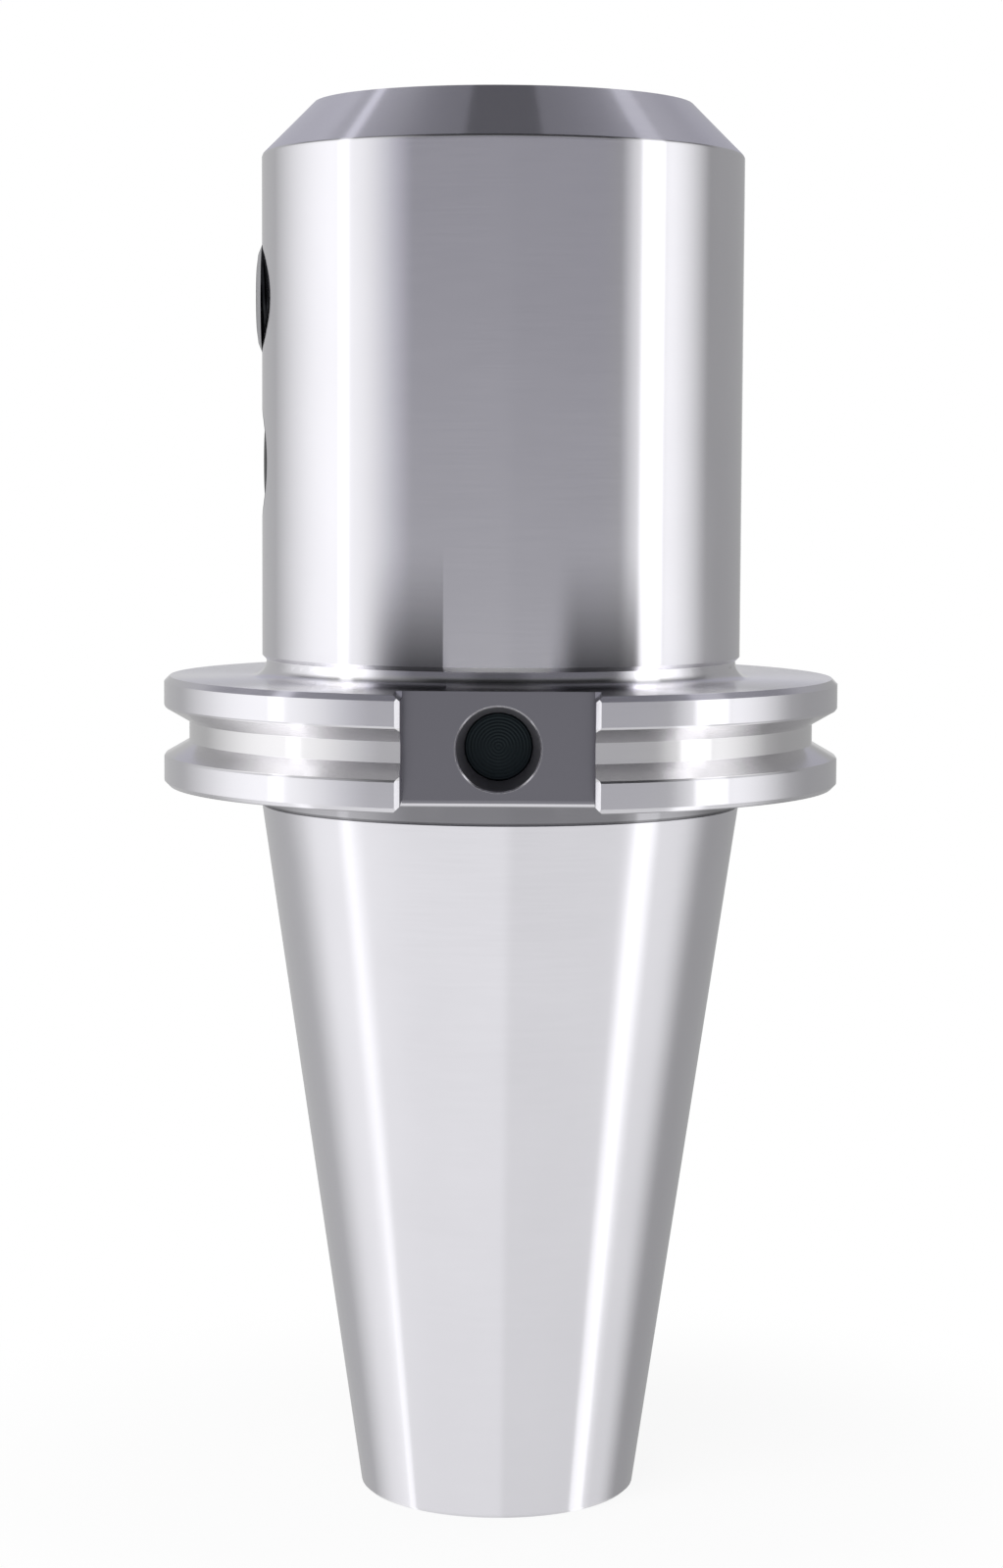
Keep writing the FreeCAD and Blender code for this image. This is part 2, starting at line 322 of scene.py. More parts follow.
@dataclass(frozen=True)
class GroundSteel:
    """Hardened alloy steel, turned and then ground all over between centres.

    Grinding leaves fine scratches that run round the axis, so reflections stay crisp across the holder and
    smear along it. The slots are milled, which leaves them rougher and darker, and the step under the nose
    above the slots is only turned, which leaves it rougher. Beside the flange the colour carries painted
    light:
    painted shade on the relief, the neck, the groove's flanks and the root, painted highlights on the
    flanks, the root and the step beside the slots, and a painted reflection of the flange's dark top at the
    foot of the nose. Heights are in mm above the gauge plane, and turns are in degrees round the axis from
    the middle of the nearer slot. A pair is where a change starts and ends.
    """

    ground_hex: str = "#dddce1"
    groove_hex: str = "#dedddf"
    milled_hex: str = "#86858c"
    drilled_hex: str = "#98979d"
    # Painted shade: the colour of the tapped holes' walls and countersinks, for the shade in the gap round
    # each screw.
    hole_shade_hex: str = "#26262a"
    ground_roughness: float = 0.18
    milled_roughness: float = 0.30
    drilled_roughness: float = 0.6
    turned_roughness: float = 0.6
    anisotropy: float = 0.97
    # Real grinding scratches are about 0.02 mm wide. They are drawn wider, so that the render shows them.
    scratch_width: float = 0.3
    scratch_length: float = 9.0
    scratch_depth: float = 0.00005
    scratch_span: Span = (0.3, 0.7)
    scratch_wear: float = 0.008
    track_slope: float = 0.37
    patch_size: float = 14.0
    patch_tone: float = 0.03
    slot_floor: float = 37.5
    slot_half_width: float = 13.15
    flange_hole: tuple[float, float, float] = (0.0, 0.0, 11.1)
    flange_hole_radius: float = 6.02
    flange_hole_floor: float = 28.0
    thread_pitch: float = 2.309
    thread_depth: float = 0.9
    thread_reach: float = 8.26
    # Painted light beside the flange: painted shade, painted highlights and a painted reflection multiply
    # the colour.
    relief_foot: float = 0.255
    relief_shade: float = 0.3
    neck_foot: float = 0.64
    neck_top: float = 3.3
    neck_shade: float = 0.5
    lower_flank: Span = (7.58, 9.68)
    lower_flank_shade: float = 0.8
    upper_flank: Span = (12.52, 14.62)
    upper_flank_shade: float = 0.87
    flank_turns: Span = (26.0, 38.0)
    flank_painted_highlight: float = 1.36
    painted_highlight_end: Span = (42.0, 54.0)
    flange_top: float = 19.01
    root_shade: float = 0.4
    root_turns: Span = (3.0, 9.0)
    beside_root_shade: float = 0.62
    root_end: Span = (26.0, 34.0)
    step: Span = (21.42, 22.08)
    step_painted_highlight: float = 1.38
    step_end: Span = (28.0, 36.0)
    painted_reflection_level: float = 0.18
    painted_reflection_heights: Span = (18.0, 40.0)
    left_painted_reflection: tuple[Span, Span] = ((-38.0, -20.0), (-13.0, -12.4))
    right_painted_reflection: tuple[Span, Span] = ((10.0, 20.0), (31.0, 36.0))
    blend: float = 0.02

    def material(self, screw_axes: list[ClampScrewAxis]) -> Material:
        """Makes the material.

        Args:
            screw_axes: The axes of the tapped holes, whose walls get a thread and painted shade.

        Returns:
            The material.
        """
        # Ground steel mirrors the room, crisp across the axis and drawn out along it.
        material = new_material("ground_alloy_steel")
        tree = material.node_tree
        place = add_node(tree, "TexCoord").node.outputs["Object"]
        mm = add_node(tree, "VectorMath", {0: place, "Scale": 1 / MM}, operation="SCALE")
        split = add_node(tree, "SeparateXYZ", {0: mm}).node
        hole = self.flange_hole_area(tree, mm)
        milled = self.milled_area(tree, split, hole)
        drilled = self.drilled_area(tree, split, hole)
        turn = self.turn_from_slot(tree, split)
        scratches = self.scratches(tree, mm, split)
        # Between the lips the steel mirrors itself, and its cool tone would add up.
        groove = band(tree, split.outputs["Z"], (self.lower_flank[0], self.upper_flank[1]), self.blend)
        colour = linear(self.ground_hex)
        finishes = ((groove, self.groove_hex), (milled, self.milled_hex), (drilled, self.drilled_hex))
        for area, finish_hex in finishes:
            colour = add_node(tree, "Mix", {"Factor": area, "A": colour, "B": linear(finish_hex)},
                              data_type="RGBA")
        rough = ramp(tree, milled, 0.0, 1.0, self.ground_roughness, self.milled_roughness)
        rough = ramp(tree, drilled, 0.0, 1.0, rough, self.drilled_roughness)
        worn = add_node(tree, "MapRange", {"Value": scratches, "From Min": self.scratch_span[0],
                                           "From Max": self.scratch_span[1], "To Min": -self.scratch_wear,
                                           "To Max": self.scratch_wear})
        rough = add_node(tree, "Math", {0: rough, 1: worn}, operation="ADD")
        rough = ramp(tree, self.turned_area(tree, split, turn), 0.0, 1.0, rough, self.turned_roughness)
        grain = ramp(tree, drilled, 0.0, 1.0, self.anisotropy, 0.0)
        bump = add_node(tree, "Bump", {"Height": scratches, "Strength": 1.0,
                                       "Distance": self.scratch_depth * MM})
        for axis in screw_axes:
            along, wall = self.tapped_area(tree, mm, axis)
            bump = self.tapped_wall(tree, along, wall, bump)
            # Painted shade: the hole's wall and countersink get a dark colour, for the shade in the gap
            # round the screw.
            colour = add_node(tree, "Mix", {"Factor": wall, "A": colour, "B": linear(self.hole_shade_hex)},
                              data_type="RGBA")
            rough = ramp(tree, wall, 0.0, 1.0, rough, self.drilled_roughness)
            grain = ramp(tree, wall, 0.0, 1.0, grain, 0.0)
        patches = add_node(tree, "TexNoise", {"Vector": mm, "Scale": 1 / self.patch_size, "Detail": 3.0})
        tone = add_node(tree, "MapRange", {"Value": patches, "To Min": 1 - self.patch_tone,
                                           "To Max": 1 + self.patch_tone})
        # Painted shade, painted highlights and a painted reflection beside the flange multiply the colour.
        cut = add_node(tree, "Math", {0: milled, 1: hole}, operation="MAXIMUM")
        tone = add_node(tree, "Math", {0: tone, 1: self.painted_flange_light(tree, split, turn, cut)},
                        operation="MULTIPLY")
        shaded = add_node(tree, "VectorMath", {0: colour, "Scale": tone}, operation="SCALE")
        # A quarter of a turn lays the grain round the axis.
        tangent = add_node(tree, "Tangent", direction_type="RADIAL", axis="Z")
        steel = add_node(tree, "BsdfPrincipled", {"Base Color": shaded, "Metallic": 1.0, "Roughness": rough,
                                                  "Anisotropic": grain, "Anisotropic Rotation": 0.25,
                                                  "Normal": bump, "Tangent": tangent})
        return finish_material(material, steel)

    def scratches(self, tree: NodeTree, mm: NodeSocket, split: Node) -> NodeSocket:
        """Fine grinding scratches round the axis, on the flanks as well as on the flat faces.

        Args:
            tree: The material's node tree.
            mm: Place in mm.
            split: Node that gives the place's X, Y and Z.

        Returns:
            Height of the surface, from 0 to 1.
        """
        flat = add_node(tree, "VectorMath", {0: mm, 1: (1, 1, 0)}, operation="MULTIPLY")
        radius = add_node(tree, "VectorMath", {0: flat}, operation="LENGTH")
        track = add_node(tree, "Math", {0: radius, 1: self.track_slope, 2: split.outputs["Z"]},
                         operation="MULTIPLY_ADD")
        steps = ((split.outputs["X"], self.scratch_length), (split.outputs["Y"], self.scratch_length),
                 (track, self.scratch_width))
        parts = [add_node(tree, "Math", {0: way, 1: size}, operation="DIVIDE") for way, size in steps]
        grid = add_node(tree, "CombineXYZ", dict(enumerate(parts)))
        return add_node(tree, "TexNoise", {"Vector": grid, "Scale": 1.0, "Detail": 2.0})

    def turn_from_slot(self, tree: NodeTree, split: Node) -> NodeSocket:
        """Angle round the axis from the middle of the nearer drive slot.

        Args:
            tree: The material's node tree.
            split: Node that gives the place's X, Y and Z.

        Returns:
            The angle in degrees, positive towards +X.
        """
        off_y = add_node(tree, "Math", {0: split.outputs["Y"]}, operation="ABSOLUTE")
        turn = add_node(tree, "Math", {0: split.outputs["X"], 1: off_y}, operation="ARCTAN2")
        return add_node(tree, "Math", {0: turn}, operation="DEGREES")

    def turned_area(self, tree: NodeTree, split: Node, turn: NodeSocket) -> NodeSocket:
        """Finds the step under the nose above the slots, which is turned and not ground.

        Args:
            tree: The material's node tree.
            split: Node that gives the place's X, Y and Z, in mm.
            turn: Angle round the axis from the nearer slot, in degrees.

        Returns:
            1 on that step and 0 elsewhere.
        """
        aside = add_node(tree, "Math", {0: turn}, operation="ABSOLUTE")
        step = band(tree, split.outputs["Z"], self.step, self.blend)
        return ramp(tree, aside, *self.step_end, step, 0.0)

    def painted_flange_light(self, tree: NodeTree, split: Node, turn: NodeSocket, cut: NodeSocket) -> NodeSocket:
        """Painted shade, painted highlights and a painted reflection beside the flange, multiplied into the
        colour.

        Painted shade darkens the relief and the neck below the flange, the groove's flanks and the root
        above the flange, and painted highlights brighten the flanks and the root beside the slots and the
        step under the nose. There the foot of the nose carries a painted reflection of the flange's dark
        top, which fades up the nose and breaks off where the slot is.

        Args:
            tree: The material's node tree.
            split: Node that gives the place's X, Y and Z, in mm.
            turn: Angle round the axis from the nearer slot, in degrees.
            cut: 1 in the drive slots and the flange hole, which keep their tone.

        Returns:
            What the steel's colour is multiplied by.
        """
        height = split.outputs["Z"]
        aside = add_node(tree, "Math", {0: turn}, operation="ABSOLUTE")
        # Painted reflection: the flange's dark top, mirrored at the foot of the nose beside each slot.
        left, right = (layers(tree, turn, 0.0, ((*comes, 1.0), (*goes, 0.0)))
                       for comes, goes in (self.left_painted_reflection, self.right_painted_reflection))
        painted_reflection_mask = add_node(tree, "Math", {0: left, 1: right}, operation="MAXIMUM")
        fading = ramp(tree, height, *self.painted_reflection_heights, self.painted_reflection_level, 1.0)
        nose = ramp(tree, painted_reflection_mask, 0.0, 1.0, 1.0, fading)
        # Painted highlight: the step under the nose is brighter than the nose.
        step = add_node(tree, "Math", {0: nose, 1: self.step_painted_highlight}, operation="MULTIPLY")
        # Painted shade on the root above the flange, with a painted highlight beside the slots.
        root = layers(tree, aside, self.root_shade,
                      ((*self.root_turns, self.beside_root_shade), (*self.root_end, self.flank_painted_highlight),
                       (*self.painted_highlight_end, 1.0)))
        # Painted shade on the groove's flanks in front, with a painted highlight beside the slots.
        lower, upper = (layers(tree, aside, ramp(tree, cut, 0.0, 1.0, dull, 1.0),
                               ((*self.flank_turns, self.flank_painted_highlight), (*self.painted_highlight_end, 1.0)))
                        for dull in (self.lower_flank_shade, self.upper_flank_shade))
        # Painted shade on the relief and the neck below the flange, then each painted zone up the holder.
        zones = ((self.relief_foot, self.relief_shade), (self.neck_foot, self.neck_shade),
                 (self.neck_top, 1.0),
                 (self.lower_flank[0], lower), (self.lower_flank[1], 1.0), (self.upper_flank[0], upper),
                 (self.upper_flank[1], 1.0), (self.flange_top, root), (self.step[0], step),
                 (self.step[1], nose))
        return layers(tree, height, 1.0,
                      ((foot - self.blend, foot + self.blend, tone) for foot, tone in zones))

    def flange_hole_area(self, tree: NodeTree, mm: NodeSocket) -> NodeSocket:
        """Finds the flange hole and its edge.

        Args:
            tree: The material's node tree.
            mm: Place in mm.

        Returns:
            1 in front, within the reach of the hole's axis and its edge, and 0 elsewhere.
        """
        centred = add_node(tree, "VectorMath", {0: mm, 1: self.flange_hole}, operation="SUBTRACT")
        flat = add_node(tree, "VectorMath", {0: centred, 1: (1, 0, 1)}, operation="MULTIPLY")
        radius = add_node(tree, "VectorMath", {0: flat}, operation="LENGTH")
        near = add_node(tree, "Math", {0: radius, 1: self.flange_hole_radius},
                        operation="LESS_THAN")
        depth = add_node(tree, "SeparateXYZ", {0: mm}).node.outputs["Y"]
        front = add_node(tree, "Math", {0: depth, 1: 0.0}, operation="LESS_THAN")
        return add_node(tree, "Math", {0: near, 1: front}, operation="MULTIPLY")

    def milled_area(self, tree: NodeTree, split: Node, hole: NodeSocket) -> NodeSocket:
        """Finds the walls and floors of the two drive slots.

        Args:
            tree: The material's node tree.
            split: Node that gives the place's X, Y and Z, in mm.
            hole: 1 in the flange hole and on its edge.

        Returns:
            1 in the slots and 0 elsewhere, the flange hole's edge too.
        """
        off_x = add_node(tree, "Math", {0: split.outputs["X"]}, operation="ABSOLUTE")
        off_y = add_node(tree, "Math", {0: split.outputs["Y"]}, operation="ABSOLUTE")
        inside = add_node(tree, "Math", {0: off_x, 1: self.slot_half_width},
                          operation="LESS_THAN")
        beyond = add_node(tree, "Math", {0: off_y, 1: self.slot_floor}, operation="GREATER_THAN")
        slot = add_node(tree, "Math", {0: inside, 1: beyond}, operation="MULTIPLY")
        return add_node(tree, "Math", {0: slot, 1: hole}, operation="SUBTRACT", use_clamp=True)

    def drilled_area(self, tree: NodeTree, split: Node, hole: NodeSocket) -> NodeSocket:
        """Finds the wall of the blind hole in the front slot's floor.

        Args:
            tree: The material's node tree.
            split: Node that gives the place's X, Y and Z, in mm.
            hole: 1 in the flange hole and on its edge.

        Returns:
            1 on the hole's wall and 0 elsewhere.
        """
        below = add_node(tree, "Math", {0: split.outputs["Y"], 1: -self.slot_floor},
                         operation="GREATER_THAN")
        above = add_node(tree, "Math", {0: split.outputs["Y"], 1: -self.flange_hole_floor},
                         operation="LESS_THAN")
        deep = add_node(tree, "Math", {0: below, 1: above}, operation="MULTIPLY")
        return add_node(tree, "Math", {0: deep, 1: hole}, operation="MULTIPLY")

    def tapped_area(self, tree: NodeTree, mm: NodeSocket,
                    axis: ClampScrewAxis) -> tuple[NodeSocket, NodeSocket]:
        """Finds the wall and the countersink of one tapped hole.

        Args:
            tree: The material's node tree.
            mm: Place in mm.
            axis: The hole's axis.

        Returns:
            The distance along the axis in mm, and 1 on the wall and 0 elsewhere.
        """
        along, reach = axis.measure(tree, mm)
        near = add_node(tree, "Math", {0: reach, 1: self.thread_reach}, operation="LESS_THAN")
        outside = add_node(tree, "Math", {0: along, 1: 0.0}, operation="GREATER_THAN")
        hole = add_node(tree, "Math", {0: near, 1: outside}, operation="MULTIPLY")
        return along, hole

    def tapped_wall(self, tree: NodeTree, along: NodeSocket, wall: NodeSocket,
                    normal: NodeSocket) -> NodeSocket:
        """Adds the thread's relief to the wall of one tapped hole.

        Args:
            tree: The material's node tree.
            along: Distance along the hole's axis, in mm.
            wall: 1 on the hole's wall and 0 elsewhere.
            normal: The normal so far.

        Returns:
            The new normal.
        """
        ridge = add_node(tree, "Math", {0: along, 1: self.thread_pitch / 2}, operation="PINGPONG")
        height = add_node(tree, "Math", {0: ridge, 1: wall}, operation="MULTIPLY")
        return add_node(tree, "Bump", {"Height": height, "Normal": normal,
                                       "Distance": self.thread_depth * MM})


@dataclass(frozen=True)
class FilmedSteel:
    """Steel under a thin cloudy film: black oxide on the screws, a stain of cutting oil in the knob thread.

    Where a screw stands proud of the nose, the slope round its crown is painted lighter: a painted highlight
    where its edge catches the light.
    """

    name: str
    base_hex: str = "#1d1e21"
    # Painted highlight: the lighter colour of the slope round a proud screw's crown.
    worn_hex: str = "#4a4b50"
    crown_highlight_hex: str = "#b2b2b6"
    crown_highlight_distance: float = 34.85
    crown_highlight_radius: float = 6.0
    metallic: float = 0.7
    roughness: Span = (0.28, 0.42)
    thin_span: Span = (0.45, 0.8)
    thinnest: float = 0.5
    cloud_size: float = 2.4
    # The film's real grain is finer. It is drawn this coarse, so that the render shows it.
    grain_size: float = 0.6
    grain_depth: float = 0.004

    def crown_highlight_area(self, tree: NodeTree, place: NodeSocket, axis: ClampScrewAxis) -> NodeSocket:
        """Finds the slope round a screw's outer end where that stands proud of the nose.

        Args:
            tree: The material's node tree.
            place: Place in metres.
            axis: The screw's axis.

        Returns:
            1 on that slope and 0 elsewhere.
        """
        mm = add_node(tree, "VectorMath", {0: place, "Scale": 1 / MM}, operation="SCALE")
        along, reach = axis.measure(tree, mm)
        proud = add_node(tree, "Math", {0: along, 1: self.crown_highlight_distance}, operation="GREATER_THAN")
        slope = add_node(tree, "Math", {0: reach, 1: self.crown_highlight_radius}, operation="GREATER_THAN")
        return add_node(tree, "Math", {0: proud, 1: slope}, operation="MULTIPLY")

    def material(self, axis: ClampScrewAxis | None = None) -> Material:
        """Makes the material: the film is thinner and greyer in small cloudy patches.

        Args:
            axis: The axis of the screw, if it is on one.

        Returns:
            The material.
        """
        # The film leaves the steel satin, with a soft broken sheen.
        material = new_material(self.name)
        tree = material.node_tree
        place = add_node(tree, "TexCoord").node.outputs["Object"]
        cloud = add_node(tree, "TexNoise", {"Vector": place, "Scale": 1 / (self.cloud_size * MM),
                                            "Detail": 4.0})
        grit = add_node(tree, "TexNoise", {"Vector": place, "Scale": 1 / (self.grain_size * MM),
                                           "Detail": 2.0})
        thin = add_node(tree, "MapRange", {"Value": cloud, "From Min": self.thin_span[0],
                                           "From Max": self.thin_span[1], "To Max": self.thinnest})
        colour = add_node(tree, "Mix", {"Factor": thin, "A": linear(self.base_hex),
                                        "B": linear(self.worn_hex)}, data_type="RGBA")
        if axis is not None:
            # Painted highlight on the slope round the crown, where the crown's edge catches the light.
            crown_highlight = self.crown_highlight_area(tree, place, axis)
            colour = add_node(tree, "Mix", {"Factor": crown_highlight, "A": colour, "B": linear(self.crown_highlight_hex)},
                              data_type="RGBA")
        rough = add_node(tree, "MapRange", {"Value": cloud, "To Min": self.roughness[0],
                                            "To Max": self.roughness[1]})
        bump = add_node(tree, "Bump", {"Height": grit, "Distance": self.grain_depth * MM})
        coat = add_node(tree, "BsdfPrincipled", {"Base Color": colour, "Metallic": self.metallic,
                                                 "Roughness": rough, "Normal": bump})
        return finish_material(material, coat)


@dataclass(frozen=True)
class TurnedBlackNylon:
    """Black nylon rod, faced on a lathe: satin, blue-black, with faint rings about its own centre."""

    base_hex: str = "#04080c"
    sheen_tint: tuple[float, float, float, float] = (0.72, 0.92, 1.0, 1.0)
    sheen: float = 0.3
    refraction: float = 1.53
    roughness: Span = (0.34, 0.50)
    # Facing leaves rings about 0.15 mm apart. They are drawn wider, so that the render shows them.
    ring_pitch: float = 0.45
    ring_depth: float = 0.02
    centre: tuple[float, float, float] = (0.0, 0.0, 11.1)

    def material(self) -> Material:
        """Makes the material.

        Returns:
            The material.
        """
        # Faced nylon is satin, and its rings break the light up a little.
        material = new_material("turned_black_nylon")
        tree = material.node_tree
        place = add_node(tree, "TexCoord").node.outputs["Object"]
        mm = add_node(tree, "VectorMath", {0: place, "Scale": 1 / MM}, operation="SCALE")
        from_centre = add_node(tree, "VectorMath", {0: mm, 1: self.centre}, operation="SUBTRACT")
        flat = add_node(tree, "VectorMath", {0: from_centre, 1: (1, 0, 1)}, operation="MULTIPLY")
        radius = add_node(tree, "VectorMath", {0: flat}, operation="LENGTH")
        turns = add_node(tree, "Math", {0: radius, 1: 2 * math.pi / self.ring_pitch}, operation="MULTIPLY")
        rings = add_node(tree, "Math", {0: turns}, operation="SINE")
        rough = add_node(tree, "MapRange", {"Value": rings, "From Min": -1.0, "To Min": self.roughness[0],
                                            "To Max": self.roughness[1]})
        bump = add_node(tree, "Bump", {"Height": rings, "Distance": self.ring_depth * MM})
        nylon = add_node(tree, "BsdfPrincipled", {"Base Color": linear(self.base_hex), "Roughness": rough,
                                                  "IOR": self.refraction, "Specular IOR Level": self.sheen,
                                                  "Specular Tint": self.sheen_tint, "Normal": bump})
        return finish_material(material, nylon)


@dataclass
class HolderBody:
    """The one-piece steel holder. Its CAD shape is right, so it stays and gets its finish."""

    finish: GroundSteel
    screw_axes: list[ClampScrewAxis]
    node: str = "holder_body"

    def build(self) -> None:
        """Dresses the CAD node."""
        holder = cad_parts[self.node]
        dress(holder, self.finish.material(self.screw_axes))
        LOG.info("dressed %s", holder.name)


@dataclass
class FlangeHolePlug:
    """The black disc at the foot of the cone in the front slot's floor."""

    finish: TurnedBlackNylon
    node: str = "flange_hole_plug"

    def build(self) -> None:
        """Dresses the CAD node."""
        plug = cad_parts[self.node]
        dress(plug, self.finish.material())
        LOG.info("dressed %s", plug.name)


@dataclass
class ClampScrew:
    """Socket set screw, 5/8 inch with 11 threads to the inch, with a crowned end and a flat dog point.

    Heights run from 0 at the crowned outer end down to minus the length at the point.
    """

    name: str
    node: str
    body: Body
    axis: ClampScrewAxis
    proud: float
    nose_radius: float = 34.925
    length: float = 18.5
    thread: HelicalThread = HelicalThread(pitch=2.309, crest_radius=7.86, root_radius=6.46)
    crown_radius: float = 6.5
    crown_drop: float = 0.2
    edge_drop: float = 0.75
    thread_start: float = 0.95
    flat_radius: float = 4.95
    shoulder: float = 14.2
    shoulder_foot: float = 16.5
    tip_radius: float = 5.7
    tip_chamfer: float = 0.5
    socket_width: float = 7.94
    socket_depth: float = 8.0
    mouth_depth: float = 0.25
    socket_cone: float = 2.3
    drill_gap: float = 0.02

    def blank_radius(self, height: float) -> float:
        """Radius of the unthreaded blank, which tapers at the shoulder.

        Args:
            height: Height on the screw, in mm.

        Returns:
            The radius in mm.
        """
        share = max(0.0, (-self.shoulder - height) / (self.shoulder_foot - self.shoulder))
        return self.thread.crest_radius + share * (self.tip_radius - self.thread.crest_radius)

    def shank(self) -> BMesh:
        """The threaded shank, its thread running out on the shoulder.

        Returns:
            A bmesh that is open at both ends.
        """
        root = self.thread.root_radius
        foot = self.shoulder + (self.shoulder_foot - self.shoulder) * (
            (self.thread.crest_radius - root) / (self.thread.crest_radius - self.tip_radius))
        shape = self.thread.surface(-foot, -self.thread_start)
        for vert in shape.verts:
            radius = math.hypot(vert.co.x, vert.co.y)
            limit = min(radius, self.blank_radius(vert.co.z))
            vert.co.x *= limit / radius
            vert.co.y *= limit / radius
        return shape

    def hexagon_radius(self, angle: float) -> float:
        """Distance from the axis to the hexagon socket's wall in a direction, in mm."""
        return self.socket_width / 2 / math.cos((angle % (math.pi / 3)) - math.pi / 6)

    def add_crown(self, shape: BMesh) -> None:
        """Closes the outer end with its crown and the hexagon socket.

        Args:
            shape: The threaded shank.
        """
        mouth = self.socket_width / math.sqrt(3) + self.mouth_depth
        rim = grow_rim(shape, open_loop(shape, -self.thread_start),
                       (self.thread.crest_radius, -self.edge_drop), (self.crown_radius, -self.crown_drop),
                       (self.flat_radius, 0.0), (mouth, 0.0))
        for depth in (self.mouth_depth, self.socket_depth):
            # The new rim is drawn from a circle of any size to the hexagon.
            rim = grow_rim(shape, rim, (1.0, -depth))
            for vert in {v for e in rim for v in e.verts}:
                angle = math.atan2(vert.co.y, vert.co.x)
                reach = self.hexagon_radius(angle)
                vert.co.x, vert.co.y = reach * math.cos(angle), reach * math.sin(angle)
        grow_rim(shape, rim, (self.socket_width / 2 - self.drill_gap, -self.socket_depth),
                 (0.0, -self.socket_depth - self.socket_cone))

    def add_point(self, shape: BMesh) -> None:
        """Closes the inner end with its flat dog point.

        Args:
            shape: The threaded shank.
        """
        foot = min(v.co.z for v in shape.verts)
        grow_rim(shape, open_loop(shape, foot), (self.tip_radius, -self.shoulder_foot),
                 (self.tip_radius, -self.length + self.tip_chamfer),
                 (self.tip_radius - self.tip_chamfer, -self.length), (0.0, -self.length))

    def build(self) -> Object:
        """Builds the screw, places it and hides the CAD node that it stands for.

        Returns:
            The screw's object.
        """
        shape = self.shank()
        self.add_crown(shape)
        self.add_point(shape)
        bmesh.ops.remove_doubles(shape, verts=shape.verts, dist=2 * WELD)
        seat = self.axis.placement(self.nose_radius + self.proud)
        bmesh.ops.transform(shape, matrix=seat, verts=shape.verts)
        screw = object_from(shape, self.name)
        dress(screw, FilmedSteel(self.name + "_black_oxide_steel").material(self.axis))
        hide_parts(self.node)
        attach(screw, self.body.value)
        LOG.info("built %s with %d faces", screw.name, len(screw.data.polygons))
        return screw


@dataclass
class KnobThread:
    """The thread inside the small end that takes the retention knob: 1 inch, 8 threads to the inch."""

    finish: FilmedSteel
    name: str = "retention_knob_thread"
    bottom: float = -93.9
    top: float = -50.0
    wall_radius: float = 11.09
    thread: HelicalThread = HelicalThread(pitch=3.175, crest_radius=10.25, root_radius=11.0)

    def build(self) -> Object:
        """Builds the thread as a thin sleeve against the wall of its bore.

        Returns:
            The thread's object.
        """
        shape = self.thread.surface(self.bottom, self.top)
        rims = [grow_rim(shape, open_loop(shape, height), (self.wall_radius, height))
                for height in (self.bottom, self.top)]
        bmesh.ops.bridge_loops(shape, edges=rims[0] + rims[1])
        bmesh.ops.remove_doubles(shape, verts=shape.verts, dist=2 * WELD)
        sleeve = object_from(shape, self.name)
        dress(sleeve, self.finish.material())
        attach(sleeve, Body.HOLDER.value)
        LOG.info("built %s with %d faces", sleeve.name, len(sleeve.data.polygons))
        return sleeve


@dataclass(frozen=True)
class StripSoftbox:
    """A tall strip light beside the camera, seen on upright steel as a bright streak with a glow beside it.

    The angles say where on a round upright surface each part lies, in degrees from the side that faces the
    photographer: the glow on the diffuser rises to the lit core and fades beyond it. Low down the outer glow
    is fainter, by low_glow, and high up the core is, by top.
    """

    side: int
    glow_start: float
    core_marks: Span
    glow_end: float
    inner_glow: float
    outer_glow: float
    low_glow: float
    core: float
    top: float
    edge: float = 0.5


